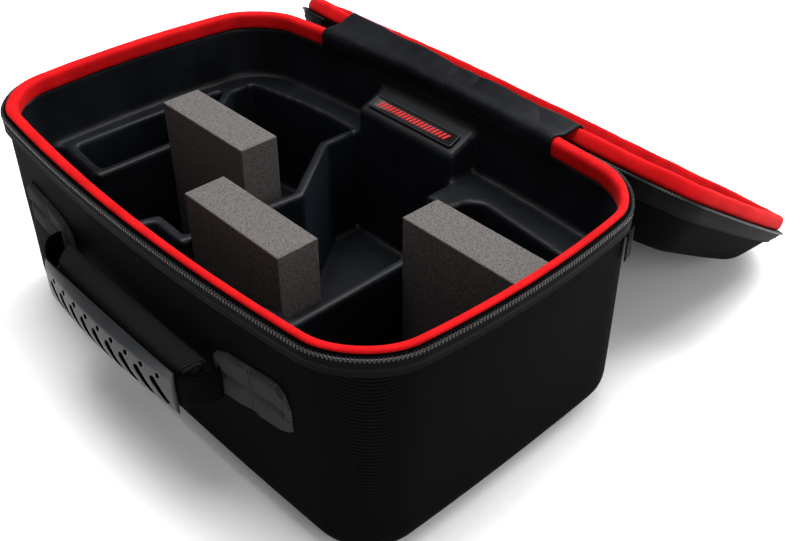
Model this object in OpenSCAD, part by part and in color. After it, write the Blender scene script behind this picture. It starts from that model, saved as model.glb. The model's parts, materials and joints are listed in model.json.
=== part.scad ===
// Soft-shell carry case: a zipped moulded case whose lid hangs open on a fabric hinge, with a
// moulded divider tray and three foam spacers inside, and a padded handle on the front wall.
// +X runs along the long side, -Y is the handle side, +Y is the hinge side and +Z is up.
// The origin is the centre of the bottom face.

/* [Case] */
// Length of the rim between its corners' outer edges, before the sides bow outward
rim_length = 318.6; // [310:1:330]
// Width of the rim, before the sides bow outward
rim_width = 195; // [180:1:210]
// How far the long sides of the rim bow outward
bow_long = 10.8; // [0:0.1:12]
// How far the short sides of the rim bow outward
bow_short = 8.7; // [0:0.1:10]
// Corner radius of the rim
rim_radius = 31.5; // [25:0.5:40]
// Height of the seam that the zip closes
seam_height = 131.5; // [120:0.5:140]
// Radius of the rounded edge round the bottom
bottom_fillet = 20; // [20:1:25]
// Thickness of the moulded shell
shell_wall = 3.2; // [2:0.2:4]

/* [Lid] */
// Depth of the lid at its middle
lid_depth = 33; // [26:1:38]
// Extra depth at the hinge side for each millimetre from the middle
lid_slope = 0.035; // [0:0.005:0.05]
// How far the lid is turned open
open_angle = 212.3; // [200:0.1:215]
// Sideways lean of the soft hinge's axis
hinge_lean = 0.8; // [0:0.1:1.2]
// Height of the padded lip that stands up from the lid's rim
lip_height = 9; // [6:0.2:10.4]

/* [Tray] */
// Height of the dividers and ledges
divider_top = 87.6; // [70:0.2:100]
// Thickness of a divider
divider_wall = 6.4; // [5:0.2:8]
// Height of the tray's floor
tray_floor = 15; // [12:0.5:16.5]
// Thickness of the tray's skin
tray_wall = 1.6; // [1.2:0.1:2]

/* [Foam spacers] */
// Length of one foam spacer
foam_length = 78.6; // [60:0.2:78.6]
// Thickness of one foam spacer
foam_thick = 25; // [15:0.5:25]
// Height of one foam spacer
foam_height = 103.5; // [80:0.5:110]

/* [Handle] */
// Length of the rubber grip
grip_length = 122; // [110:1:124]
// Height of the grip
grip_height = 27; // [24:1:28]
// Number of slanted slots in the grip
slot_count = 9; // [5:1:9]
// Distance between two slots
slot_pitch = 12.4; // [10:0.1:12.4]

/* [Hidden] */

$fn = 48;
// Gap kept between solids that only touch on the real case
gap = 0.2;
// Gap kept between solids that move past each other
run = 0.35;

// How far the bottom's outline stands outside the straight rim, along X and Y
bottom_grow = [3.1, 1.8];
// How far the sides bow outward at the bottom
bottom_bow = [1.4, 3.0];
bottom_radius = 30;
// The shell's face stands this far outside the red binding's outer edge
shell_proud = 1.0;
binding_width = 6.6;
binding_top = seam_height + 2;
binding_drop = 8;
tape_height = 8;
tape_thick = 1.1;
coil_radius = 0.9;
// Half length of the stretch of the back wall that has no zip
zip_end = 112;
cover_half = 95;
cover_thick = 0.9;
// Where the label boss starts and ends along the back wall
boss_ends = [-44, 37];
// Heights of the boss's sloping top, at its front and at the wall
boss_heights = [104.4, 112];
foam_size = [foam_length, foam_thick, foam_height];
// Nearest corner of each spacer, in plan
foam_corners = [[-108.6, -16.5], [-15.5, -63.3], [77.6, 4.2]];

back_edge = rim_width / 2 + bow_long;
// The hinge axis lies just behind the rim, at the height of the seam
hinge_point = [0, back_edge + shell_proud + 0.9, seam_height];
hinge_axis = [cos(hinge_lean), 0, -sin(hinge_lean)];

// Spaces along one quarter turn of a corner, and along the sides
corner_steps = 6;
long_steps = 8;
short_steps = 5;
outline_points = 4 * corner_steps + 2 * long_steps + 2 * short_steps;

// ---- outlines -------------------------------------------------------------------------

// A side's points, from a to b, without the last one
function side(a, b, steps) = [for (i = [0:steps - 1]) a + (b - a) * i / steps];

// A corner's points round c, from angle start, without the last one
function corner(c, r, start) =
    [for (i = [0:corner_steps - 1]) c + r * [cos(start + 90 * i / corner_steps),
                                             sin(start + 90 * i / corner_steps)]];

// Pushes a point of a rounded rectangle outward so that its sides bow
function bowed(p, half, bow) = [
    p.x + sign(p.x) * bow.x * (1 - pow(p.y / half.y, 2)) * pow(abs(p.x) / half.x, 4),
    p.y + sign(p.y) * bow.y * (1 - pow(p.x / half.x, 2)) * pow(abs(p.y) / half.y, 4)
];

// Rounded rectangle with bowed sides, anticlockwise from the middle of the back-right corner
function outline(half, r, bow) =
    let (c = half - [r, r])
    [for (p = concat(
        corner([c.x, c.y], r, 0),
        side([c.x, half.y], [-c.x, half.y], long_steps),
        corner([-c.x, c.y], r, 90),
        side([-half.x, c.y], [-half.x, -c.y], short_steps),
        corner([-c.x, -c.y], r, 180),
        side([-c.x, -half.y], [c.x, -half.y], long_steps),
        corner([c.x, -c.y], r, 270),
        side([half.x, -c.y], [half.x, c.y], short_steps))) bowed(p, half, bow)];

// The rim's outline, moved outward by u
function rim_outline(u) =
    outline([rim_length / 2 + u, rim_width / 2 + u], rim_radius + u, [bow_short, bow_long]);

// How far the base's wall draws in at height z, because of the rounded bottom edge
function fillet_inset(z, floor_z, r) =
    z - floor_z >= r ? 0 : r - sqrt(max(0, r * r - pow(r - (z - floor_z), 2)));

// The base's outline at height z, moved inward by t, with the bottom edge rounded from floor_z
function base_outline(z, t, floor_z, r) =
    let (k = z / seam_height,
         in = t + fillet_inset(z, floor_z, r),
         half = [rim_length / 2 + shell_proud, rim_width / 2 + shell_proud] * k
              + [rim_length / 2 + bottom_grow.x, rim_width / 2 + bottom_grow.y] * (1 - k)
              - [in, in],
         bow = [bow_short, bow_long] * k + bottom_bow * (1 - k))
    outline(half, max(6, (rim_radius + shell_proud) * k + bottom_radius * (1 - k) - in * 0.8), bow);

// Depth below which the lid's walls stop leaning and its top edge rounds over
lid_round = 9;
// Lean of the lid's walls: hinge side, front and short sides
lid_lean = [tan(35), tan(42), tan(13)];

// The lid's outline at depth h above the seam, moved inward by t, for a lid of depth d
function lid_outline(h, t, d) =
    let (in = t + (h > d - lid_round ? lid_round - sqrt(max(0, pow(lid_round, 2)
                                                        - pow(h - d + lid_round, 2))) : 0),
         back = rim_width / 2 + shell_proud - lid_lean[0] * h - in,
         front = rim_width / 2 + shell_proud - lid_lean[1] * h - in,
         half = [rim_length / 2 + shell_proud - lid_lean[2] * h - in, (back + front) / 2],
         fade = max(0.25, 1 - h / d))
    [for (p = outline(half, max(8, rim_radius - in), [bow_short, bow_long] * fade))
        p + [0, (back - front) / 2]];

// ---- skins ----------------------------------------------------------------------------

function flat_ring(points, z) = [for (p = points) [p.x, p.y, z]];

// A ring of the lid, tipped so that the lid is deeper at the hinge
function lid_ring(h, t, d) =
    [for (p = lid_outline(h, t, d)) [p.x, p.y, seam_height + h * (1 + lid_slope * p.y / d)]];

// Closed solid over a stack of rings, with its first and last rings capped. Every wall is cut
// along the same diagonal whether its rings go up or down, so that nested skins stay parallel.
module ring_solid(rings) {
    n = len(rings[0]);
    m = len(rings);
    walls = [for (i = [0:m - 2], j = [0:n - 1], half = [0, 1])
        let (a = i * n + j, b = i * n + (j + 1) % n, up = rings[i + 1][0].z >= rings[i][0].z)
        up ? (half == 0 ? [a, a + n, b] : [b, a + n, b + n])
           : (half == 0 ? [a, a + n, b + n] : [a, b + n, b])];
    first_cap = [[for (j = [0:n - 1]) j]];
    last_cap = [[for (j = [n - 1:-1:0]) (m - 1) * n + j]];
    polyhedron([for (r = rings) each r], concat(walls, first_cap, last_cap));
}

// Closed ring-shaped solid over a loop of rings: its section is one point of each ring
module loop_solid(rings) {
    n = len(rings[0]);
    m = len(rings);
    polyhedron([for (r = rings) each r],
        [for (i = [0:m - 1], j = [0:n - 1], half = [0, 1])
            let (a = i * n + j, b = i * n + (j + 1) % n, k = (i + 1) % m,
                 c = k * n + j, d = k * n + (j + 1) % n)
            half == 0 ? [a, c, b] : [b, c, d]]);
}

// Closed solid over a strip: each row is the section at one place along the strip
module strip_solid(rows) {
    n = len(rows[0]);
    m = len(rows);
    polyhedron([for (r = rows) each r], concat(
        [for (i = [0:m - 2], j = [0:n - 1], half = [0, 1])
            let (a = i * n + j, b = i * n + (j + 1) % n)
            half == 0 ? [a, b, a + n] : [b, b + n, a + n]],
        [[for (j = [n - 1:-1:0]) j]],
        [[for (j = [0:n - 1]) (m - 1) * n + j]]));
}

// The rim's direction that points outward at outline point i
function outward(points, i) =
    let (n = len(points), d = points[(i + 1) % n] - points[(i + n - 1) % n])
    [d.y, -d.x] / norm(d);

// Indices of the outline's points that the zip runs past, from back left round to back right
function zip_points(points) =
    [for (s = [0:outline_points - 1])
        let (i = (s + corner_steps + floor(long_steps / 2)) % outline_points)
        if (points[i].y < 0 || abs(points[i].x) > zip_end) i];

// Strip along the zip, with its section given as [outward distance, height above the seam]
module zip_strip(section, sense) {
    rim = rim_outline(0);
    strip_solid([for (i = zip_points(rim))
        [for (s = sense > 0 ? section : [for (q = [len(section) - 1:-1:0]) section[q]])
            let (o = outward(rim, i))
            [rim[i].x + o.x * s.x, rim[i].y + o.y * s.x, seam_height + sense * s.y]]]);
}

// A rounded section for the zip's coil, above the tape and clear of the shell
coil_out = shell_proud + coil_radius + 0.3;
coil_section = [for (i = [0:5]) [coil_out + coil_radius * cos(60 * i),
                                 -coil_radius - 0.25 + coil_radius * sin(60 * i)]];
tape_in = shell_proud + 0.4;
tape_edge = -2.4;
tape_section = [[tape_in, tape_edge - tape_height], [tape_in + tape_thick, tape_edge - tape_height],
                [tape_in + tape_thick, tape_edge], [tape_in, tape_edge]];

// Turns the closed lid open round the hinge axis
module opened() {
    translate(hinge_point) rotate(a = -open_angle, v = hinge_axis) translate(-hinge_point) children();
}

// ---- base -----------------------------------------------------------------------------

// The wall's rings stand at these heights, so that the skins inside it run parallel to it
wall_levels = [bottom_fillet, 75, seam_height - binding_drop - gap];
inner_r = bottom_fillet - shell_wall;
shell_rim = seam_height - 0.3;

module base_shell() {
    color("#17181a") ring_solid(concat(
        [for (z = concat([0, 1, 4, 9, 14], wall_levels, [shell_rim]))
            flat_ring(base_outline(z, 0, 0, bottom_fillet), z)],
        [for (z = [shell_rim, wall_levels[2], 75, bottom_fillet, tray_floor + 1.4, 11, 6, shell_wall])
            flat_ring(base_outline(z, shell_wall, shell_wall, inner_r), z)]));
}

// Red padded band that wraps the rim's top and inner edge
module base_binding() {
    top = binding_top - seam_height;
    section = [[-0.1, 0.2], [-0.3, top - 0.9], [-1.8, top], [-4.4, top], [0.5 - binding_width, top - 1.2],
               [-binding_width, -2], [-binding_width, -binding_drop], [-2.8, -binding_drop],
               [-2.8, 0.2]];
    color("#e8141c") loop_solid([for (s = section) flat_ring(rim_outline(s.x), seam_height + s.y)]);
}

module base_zip_tape() {
    color("#202124") zip_strip(tape_section, 1);
}

module base_zip_coil() {
    color("#141416") zip_strip(coil_section, 1);
}

// The tray's inner skin stands inside the shell, with a small rounding round its floor
liner_out = shell_wall + gap;
liner_in = liner_out + tray_wall;
tray_fillet = 3;

function tray_ring(z, in, floor_z) =
    flat_ring(base_outline(z, in + fillet_inset(z, floor_z, tray_fillet), shell_wall, inner_r), z);

// Moulded inner skin that carries the dividers
module tray_liner() {
    under = tray_floor - tray_wall;
    color("#0f1114") ring_solid(concat(
        [for (z = concat([under, under + 1, under + tray_fillet], wall_levels))
            tray_ring(z, liner_out, under)],
        [for (i = [2:-1:0]) tray_ring(wall_levels[i], liner_in, tray_floor)],
        [for (z = [tray_floor + tray_fillet, tray_floor + 1, tray_floor])
            tray_ring(z, liner_in, tray_floor)]));
}

// The room inside the tray's skin, which every divider and ledge fills out to
module tray_room() {
    low = tray_floor + gap;
    ring_solid([for (z = concat([low, low + 1, low + tray_fillet], wall_levels))
        tray_ring(z, liner_in + gap, low)]);
}

// Upright wall along a path: a slab for each stretch and a post at each bend
module divider(path) {
    color("#14171b") intersection() {
        linear_extrude(divider_top) {
            for (i = [0:len(path) - 2]) {
                d = path[i + 1] - path[i];
                translate(path[i]) rotate(atan2(d.y, d.x)) translate([0, -divider_wall / 2])
                    square([norm(d), divider_wall]);
            }
            for (p = path) translate(p) circle(d = divider_wall, $fn = 12);
        }
        tray_room();
    }
}

// The dividers' routes across the tray, front to back
left_path = [[-170, -76], [-154, -60.5], [-112.4, -63], [-112.4, 9], [-147, 55], [-147, 68]];
middle_path = [[-64.5, -112], [-48, -64], [-21.5, -65], [-14, 9], [-49, 57], [-49, 76]];
right_path = [[16, -110], [57, -67], [74, -67], [74, 11], [52, 44], [52, 57.5]];

module divider_left() {
    divider(left_path);
}

module divider_middle() {
    divider(middle_path);
}

module divider_right() {
    divider(right_path);
}

// Solid step of the tray with the given plan, as high as the dividers
module ledge(plan) {
    color("#14171b") intersection() {
        linear_extrude(divider_top) polygon(plan);
        tray_room();
    }
}

module ledge_left() {
    ledge([[-175, -56.8], [-150.4, -56.8], [-151.6, 0], [-150.6, 59.8], [-175, 59.8]]);
}

module ledge_back_left() {
    ledge([[-175, 60], [-150.6, 60], [-150.4, 71.6], [-100, 80], [-73, 82], [-44.4, 82], [-44.4, 115],
           [-175, 115]]);
}

module ledge_back_right() {
    ledge([[37.4, 61.2], [56, 61.2], [58, 74], [66, 79.6], [128, 72.6], [175, 66], [175, 115],
           [37.4, 115]]);
}

// Column against the back wall, with a sloping top that carries the label
boss_front = 81.4;
boss_back = 99.5;
boss_slope = atan2(boss_heights[1] - boss_heights[0], boss_back - boss_front);

module label_boss() {
    past = boss_back + 12;
    color("#14171b") intersection() {
        translate([boss_ends[0], 0, 0]) rotate([90, 0, 90]) linear_extrude(boss_ends[1] - boss_ends[0])
            polygon([[boss_front, 0], [past, 0], [past, boss_heights[1] + 12 * tan(boss_slope)],
                     [boss_front, boss_heights[0]]]);
        tray_room();
    }
}

label_size = [71, 10.6, 1.4];

module label_plate() {
    middle = [(boss_ends[0] + boss_ends[1]) / 2, (boss_front + boss_back) / 2,
              (boss_heights[0] + boss_heights[1]) / 2];
    rim = 1.1;
    color("#1b1c1f") translate(middle) rotate([boss_slope, 0, 0])
        translate([-label_size.x / 2, -label_size.y / 2, gap]) difference() {
            cube(label_size);
            translate([rim, rim, label_size.z - 0.6])
                cube([label_size.x - 2 * rim, label_size.y - 2 * rim, 1]);
        }
}

// Blank folded tag sewn under the zip tape near the back right corner
tag_size = [1.2, 8, 17];
tag_at = [163.2, 77.5, 103];
tag_turn = 19;

module side_tag() {
    color("#1b1c1f") translate(tag_at) rotate(tag_turn) translate([0, -tag_size.y / 2, 0]) cube(tag_size);
}

// Fabric sleeve over the binding where the lid hinges; section as [outward distance, height]
module cover_strip(section, sense, ends) {
    steps = 10;
    strip_solid([for (i = [0:steps])
        let (x = -ends + 2 * ends * i / steps,
             y = rim_width / 2 + bow_long * (1 - pow(2 * x / rim_length, 2)))
        [for (s = sense > 0 ? section : [for (q = [len(section) - 1:-1:0]) section[q]])
            [x, y + s.x, seam_height + sense * s.y]]]);
}

// The sleeves stand clear of the padded bands by this much on their sides
cover_gap = 0.45;

module hinge_cover_base() {
    top = binding_top - seam_height + gap;
    c = cover_thick;
    inner = -binding_width - cover_gap;
    section = [[cover_gap - 0.1, 0.2], [0.1, top - 0.7], [-1.6, top], [-4.6, top],
               [0.3 - binding_width, top - 1], [inner, -2], [inner, -binding_drop],
               [inner - c, -binding_drop], [inner - c, -1.6], [-binding_width - 0.6, top - 0.3],
               [-4.8, top + c], [-1.4, top + c], [0.9, top - 0.3], [cover_gap - 0.1 + c, 0.2]];
    color("#222326") cover_strip(section, 1, cover_half);
}

// ---- handle ---------------------------------------------------------------------------

// The room outside the base's wall from t outward, between heights that the handle needs
module wall_room(t) {
    ring_solid([for (z = [40, 75, 110]) flat_ring(base_outline(z, -t, 0, bottom_fillet), z)]);
}

patch_thick = 1.5;
patch_shape = [[67, 67], [72, 65.5], [114, 70.5], [121, 74], [119, 92], [113, 99], [78, 95.5], [66, 86]];

// Stitched patch that follows the wall; side is -1 or 1
module handle_patch(side) {
    color("#1d1e21") intersection() {
        difference() {
            wall_room(gap + patch_thick);
            wall_room(gap);
        }
        rotate([90, 0, 0]) linear_extrude(140) polygon([for (p = patch_shape) [side * p.x, p.y]]);
    }
}

module handle_patch_left() {
    handle_patch(-1);
}

module handle_patch_right() {
    handle_patch(1);
}

// Centre line of the handle in plan: bowed outward a little between its two ends
handle_reach = 123.5;
handle_bow = 0.5;
grip_top = 83;
function handle_y(x) = -handle_reach - handle_bow * (1 - pow(x / 75, 2));

// The grip lies on the webbing this far outward from the handle's line
grip_face = 1.4;

// Strip along X with its section given as [outward distance from the handle's line, height];
// slim is how much of its thickness it loses at its ends
module handle_strip(half_length, section, steps, slim = 0) {
    strip_solid([for (i = [0:steps])
        let (x = -half_length + 2 * half_length * i / steps, k = 1 - slim * pow(x / half_length, 2))
        [for (s = section) [x, handle_y(x) - grip_face - (s.x - grip_face) * k, s.y]]]);
}

// Webbing loop: a flat band whose ends turn in to the wall beside the patches and rise a little
strap_height = 20;
strap_end = [73, -108.6, 66.5];

module handle_strap() {
    low = grip_top - 22;
    high = low + strap_height;
    x = grip_length / 2 + 1;
    color("#1d1e21") union() {
        handle_strip(x, [[-1.2, low], [1.2, low], [1.2, high], [-1.2, high]], 10);
        for (s = [-1, 1]) hull() {
            translate([s * (x - 0.5), handle_y(x), low]) cylinder(d = 2.4, h = strap_height);
            translate([s * strap_end.x, strap_end.y, strap_end.z]) cylinder(d = 2.4, h = strap_height);
        }
    }
}

// Padded woven sleeve that fills the space behind the grip
module handle_pad() {
    section = [[-12.2, grip_top - 17], [-8, grip_top - 22], [-1.4, grip_top - 23], [-1.4, grip_top],
               [-5, grip_top + 3], [-11.4, grip_top + 4.2], [-12.6, grip_top + 2.4], [-12.2, grip_top]];
    color("#191a1d") handle_strip(grip_length / 2 - 2, section, 10);
}

slot_lean = 42;
slot_reach = 6.6;

// Moulded rubber grip with a row of slanted slots and round holes
module handle_grip() {
    low = grip_top - grip_height;
    section = [[grip_face, low + 2], [3.5, low], [7, low + 5], [8, low + 12], [6.4, grip_top - 4],
               [3.2, grip_top], [grip_face, grip_top]];
    color("#3a3d41") difference() {
        handle_strip(grip_length / 2, section, 14, 0.7);
        for (i = [0:slot_count - 1]) {
            x = (i - (slot_count - 1) / 2) * slot_pitch;
            translate([x, handle_y(x) - 10, low + 12]) rotate([-90, 0, 0]) rotate(-slot_lean) {
                translate([-1.4, -5.5, 0]) cube([2.8, 11, slot_reach]);
                translate([5.6, -7, 0]) cylinder(r = 1.2, h = slot_reach, $fn = 16);
            }
        }
    }
}

// ---- lid ------------------------------------------------------------------------------

module lid_shell() {
    inner_d = lid_depth - shell_wall;
    color("#17181a") opened() ring_solid(concat(
        [for (h = [inner_d, inner_d - 2, inner_d - 5, inner_d - lid_round, 12, 0.3])
            lid_ring(h, shell_wall, inner_d)],
        [for (h = [0.3, 12, lid_depth - lid_round, lid_depth - 5, lid_depth - 2, lid_depth])
            lid_ring(h, 0, lid_depth)]));
}

// Lining that covers the inside of the lid, above its padded lip
lining_thick = 1.2;
lining_edge = 3.6;

module lid_lining() {
    d = lid_depth - shell_wall - gap;
    inner_d = d - lining_thick;
    t = shell_wall + 2.5 * gap;
    color("#121316") opened() ring_solid(concat(
        [for (h = [inner_d, inner_d - 2, inner_d - 5, inner_d - lid_round, lining_edge])
            lid_ring(h, t + lining_thick, inner_d)],
        [for (h = [lining_edge, d - lid_round, d - 5, d - 2, d]) lid_ring(h, t, d)]));
}

// Red padded lip round the lid's opening; it is soft and flattens as the lid closes
module lid_binding() {
    section = [[-0.4, -0.1], [-0.5, -lip_height + 2.6], [-1.8, -lip_height + 0.6], [-3.2, -lip_height],
               [-4.8, -lip_height + 0.6], [-6, -lip_height + 2.6], [-7.4, 3], [-6.4, 3],
               [-5.4, -0.1]];
    color("#e8141c") opened()
        loop_solid([for (i = [len(section) - 1:-1:0])
            flat_ring(rim_outline(section[i].x), seam_height + section[i].y)]);
}

// The lid's tape lies along its leaning wall
module lid_zip_tape() {
    rings = [for (i = [len(tape_section) - 1:-1:0])
        lid_ring(-tape_section[i].y, shell_proud - tape_section[i].x, lid_depth)];
    color("#202124") opened() strip_solid([for (i = zip_points(rim_outline(0))) [for (r = rings) r[i]]]);
}

module lid_zip_coil() {
    color("#141416") opened() zip_strip(coil_section, -1);
}

module hinge_cover_lid() {
    l = lip_height;
    c = cover_thick;
    section = [[cover_gap - 0.4, 0.1], [cover_gap - 0.5, l - 2.8], [-1.5, l - 0.3], [-3.4, l + 0.3],
               [-5.5, l - 0.3], [-6.6 - cover_gap, l - 2.4], [-7.3 - cover_gap, -1.6],
               [-7.3 - cover_gap - c, -1.6], [-6.6 - cover_gap - c, l - 2.2], [-6, l + 0.7],
               [-3.4, l + c + 0.3], [-0.9, l + 0.6], [cover_gap - 0.5 + c, l - 2.4],
               [cover_gap - 0.4 + c, 0.1]];
    color("#222326") opened() cover_strip(section, -1, cover_half - 0.5);
}

// ---- zip sliders ----------------------------------------------------------------------

// Where a slider is parked on the back wall, and how the zip runs there
park_x = 121.5;
slider_size = [10, 2.2, 8];
// Length of a pull tab, and of the opening at its top
tab_length = 20;
tab_eye = 7;
function zip_y(x) = rim_width / 2 + bow_long * (1 - pow(2 * x / rim_length, 2)) + shell_proud;

module parked(side) {
    lean = atan2(zip_y(park_x + 5) - zip_y(park_x - 5), 10);
    translate([side * park_x, zip_y(park_x) + tape_thick + 0.75, seam_height - 7]) rotate(side * lean)
        children();
}

// Slider body with the small bridge that its pull tab hangs on
module zip_slider(side) {
    color("#2c2d30") parked(side) difference() {
        union() {
            translate([-slider_size.x / 2, 0, -slider_size.z / 2]) cube(slider_size);
            translate([-1.2, slider_size.y - 0.1, -3]) cube([2.4, 3.2, 6]);
        }
        translate([-2, slider_size.y + 1.3, 0]) rotate([0, 90, 0]) cylinder(r = 0.95, h = 4, $fn = 24);
    }
}

module zip_slider_left() {
    zip_slider(-1);
}

module zip_slider_right() {
    zip_slider(1);
}

// Pull tab that hangs down from the slider's bridge
module pull_tab(side) {
    color("#2c2d30") parked(side) translate([0, slider_size.y + 1.3, 0]) {
        translate([-3, 0, 0]) rotate([0, 90, 0]) cylinder(r = 0.7, h = 6, $fn = 24);
        for (s = [-1, 1]) translate([s * 2.6 - 0.5, -0.7, -tab_eye]) cube([1, 1.4, tab_eye]);
        translate([-3.1, -0.7, -tab_length]) cube([6.2, 1.4, tab_length - tab_eye + 0.2]);
    }
}

module pull_tab_left() {
    pull_tab(-1);
}

module pull_tab_right() {
    pull_tab(1);
}

// ---- foam spacers ---------------------------------------------------------------------

module foam_spacer(i) {
    color("#6b6765") translate([foam_corners[i].x, foam_corners[i].y, tray_floor + run]) cube(foam_size);
}

module foam_spacer_left() {
    foam_spacer(0);
}

module foam_spacer_middle() {
    foam_spacer(1);
}

module foam_spacer_right() {
    foam_spacer(2);
}

base_shell();
base_binding();
base_zip_tape();
base_zip_coil();
tray_liner();
divider_left();
divider_middle();
divider_right();
ledge_left();
ledge_back_left();
ledge_back_right();
label_boss();
label_plate();
side_tag();
handle_patch_left();
handle_patch_right();
hinge_cover_base();
handle_strap();
handle_pad();
handle_grip();
lid_shell();
lid_lining();
lid_binding();
lid_zip_tape();
lid_zip_coil();
hinge_cover_lid();
zip_slider_left();
zip_slider_right();
pull_tab_left();
pull_tab_right();
foam_spacer_left();
foam_spacer_middle();
foam_spacer_right();
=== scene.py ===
"""Soft-shell carry case with its lid hanging open: meshes, materials, light and camera.

Every length is in metres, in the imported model's frame: +X along the long side, -Y towards the
handle, +Z up. The outline rule is the same as the model's, drawn with more points.
"""
import json
import math

import bmesh
import bpy
import numpy as np
from mathutils import Matrix, Vector, noise


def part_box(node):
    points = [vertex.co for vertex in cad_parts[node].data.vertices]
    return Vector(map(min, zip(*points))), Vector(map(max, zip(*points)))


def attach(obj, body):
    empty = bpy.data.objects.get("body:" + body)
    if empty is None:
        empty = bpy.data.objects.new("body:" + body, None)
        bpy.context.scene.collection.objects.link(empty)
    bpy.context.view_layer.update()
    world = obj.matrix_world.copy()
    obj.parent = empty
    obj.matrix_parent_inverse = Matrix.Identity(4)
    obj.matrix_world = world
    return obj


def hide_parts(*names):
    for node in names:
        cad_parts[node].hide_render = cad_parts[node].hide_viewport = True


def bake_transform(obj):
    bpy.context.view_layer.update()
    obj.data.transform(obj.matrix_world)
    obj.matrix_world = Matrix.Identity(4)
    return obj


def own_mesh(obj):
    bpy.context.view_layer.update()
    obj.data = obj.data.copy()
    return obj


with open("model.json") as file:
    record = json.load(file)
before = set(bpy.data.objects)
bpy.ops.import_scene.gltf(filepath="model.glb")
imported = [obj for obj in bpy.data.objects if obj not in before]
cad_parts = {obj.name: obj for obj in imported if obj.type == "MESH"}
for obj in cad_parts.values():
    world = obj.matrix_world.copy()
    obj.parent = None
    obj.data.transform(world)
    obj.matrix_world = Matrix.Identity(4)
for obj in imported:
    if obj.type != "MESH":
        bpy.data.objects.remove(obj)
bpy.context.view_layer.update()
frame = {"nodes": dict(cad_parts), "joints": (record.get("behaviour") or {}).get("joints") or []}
MM = 0.001

# ---- driving sizes: the model's own numbers, and what its packed boxes give ----

# how far the rim's sides bow outward, and its corner radius
BOW_LONG, BOW_SHORT = 10.8 * MM, 8.7 * MM
RIM_RADIUS = 31.5 * MM
# the same at the bottom, and how much further it reaches each way; pairs are along x, along y
BOTTOM_RADIUS = 30 * MM
BOTTOM_BOW = (1.4 * MM, 3.0 * MM)
BOTTOM_GROW = (3.1 * MM, 1.8 * MM)
# radius of the rounded bottom edge
FILLET = 20 * MM
# how far the shells stand outside the rim's outline, and their thickness
PROUD = 1.0 * MM
WALL = 3.2 * MM

band_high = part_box("base_binding")[1]
shell_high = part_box("base_shell")[1]
# the band's outer edge stands 0.1 mm inside the rim's own outline
RIM_X = band_high.x + 0.1 * MM - BOW_SHORT
RIM_Y = band_high.y + 0.1 * MM - BOW_LONG
SEAM = shell_high.z + 0.3 * MM
BAND_TOP = band_high.z

joints = {j["name"]: j for j in frame["joints"]}
lid_joint = joints["lid_hinge"]
HINGE_POINT = Vector(lid_joint["pos_m"])
OPENING = Matrix.Rotation(math.radians(-lid_joint["range_deg"][0]), 4, Vector(lid_joint["axis"]))
# takes the closed lid to where it rests, hanging open
LID_OPEN = Matrix.Translation(HINGE_POINT) @ OPENING @ Matrix.Translation(-HINGE_POINT)

# the lid's depth at its middle, its extra depth towards the hinge, and its rounded edge
LID_DEPTH = 33 * MM
LID_SLOPE = 0.035
LID_ROUND = 9 * MM
# how far the lid's walls lean in as it gets deeper
LEAN_BACK, LEAN_FRONT, LEAN_SHORT = (math.tan(math.radians(a)) for a in (35, 42, 13))
# height of the padded lip on the lid's rim
LIP = 9.0 * MM
# where the hinge's cloth and the zip end along the back
COVER_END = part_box("hinge_cover_base")[1].x
ZIP_END = 112 * MM
grip_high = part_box("handle_grip")[1]
GRIP_TOP, GRIP_HALF = grip_high.z, grip_high.x


# ---- materials -------------------------------------

def new_material(name, colour, roughness, specular=0.3):
    """Returns a new material, its node tree and its Principled shader."""
    material = bpy.data.materials.new(name)
    material.use_nodes = True
    tree = material.node_tree
    shader = tree.nodes["Principled BSDF"]
    shader.inputs["Base Color"].default_value = (*colour, 1)
    shader.inputs["Roughness"].default_value = roughness
    shader.inputs["Specular IOR Level"].default_value = specular
    return material, tree, shader


def node(tree, kind, **settings):
    made = tree.nodes.new(kind)
    for key, value in settings.items():
        setattr(made, key, value)
    return made


def position(tree):
    """Object coordinates."""
    return node(tree, "ShaderNodeTexCoord").outputs["Object"]


def noise_value(tree, vector, scale, detail):
    tex = node(tree, "ShaderNodeTexNoise")
    tex.inputs["Scale"].default_value = scale
    tex.inputs["Detail"].default_value = detail
    tex.inputs["Roughness"].default_value = 0.55
    tree.links.new(vector, tex.inputs["Vector"])
    return tex.outputs["Fac"]


def stripes(tree, direction, pitch):
    """0 to 1 ribs whose value changes along a direction, one rib every pitch."""
    along = node(tree, "ShaderNodeVectorMath", operation="DOT_PRODUCT")
    along.inputs[1].default_value = Vector(direction).normalized()
    tree.links.new(position(tree), along.inputs[0])
    turns = times(tree, along.outputs["Value"], 2 * math.pi / pitch)
    wave = maths(tree, "SINE", turns, 0.0)
    return times(tree, plus(tree, wave, 1.0), 0.5)


def maths(tree, operation, a, b):
    made = node(tree, "ShaderNodeMath", operation=operation)
    for socket, value in zip(made.inputs, (a, b)):
        if isinstance(value, (int, float)):
            socket.default_value = value
        else:
            tree.links.new(value, socket)
    return made.outputs[0]


def times(tree, a, b):
    return maths(tree, "MULTIPLY", a, b)


def plus(tree, a, b):
    return maths(tree, "ADD", a, b)


def tint(tree, shader, fac, low, high, start, end):
    """Base colour from low to high, as fac goes from start to end."""
    made = node(tree, "ShaderNodeValToRGB")
    made.color_ramp.elements[0].color = (*low, 1)
    made.color_ramp.elements[1].color = (*high, 1)
    made.color_ramp.elements[0].position = start
    made.color_ramp.elements[1].position = end
    tree.links.new(fac, made.inputs["Fac"])
    tree.links.new(made.outputs["Color"], shader.inputs["Base Color"])


def roughen(tree, shader, fac, low, high):
    """Roughness from low to high, as fac goes from 0 to 1."""
    made = node(tree, "ShaderNodeMapRange")
    made.inputs["To Min"].default_value = low
    made.inputs["To Max"].default_value = high
    tree.links.new(fac, made.inputs["Value"])
    tree.links.new(made.outputs["Result"], shader.inputs["Roughness"])


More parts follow.
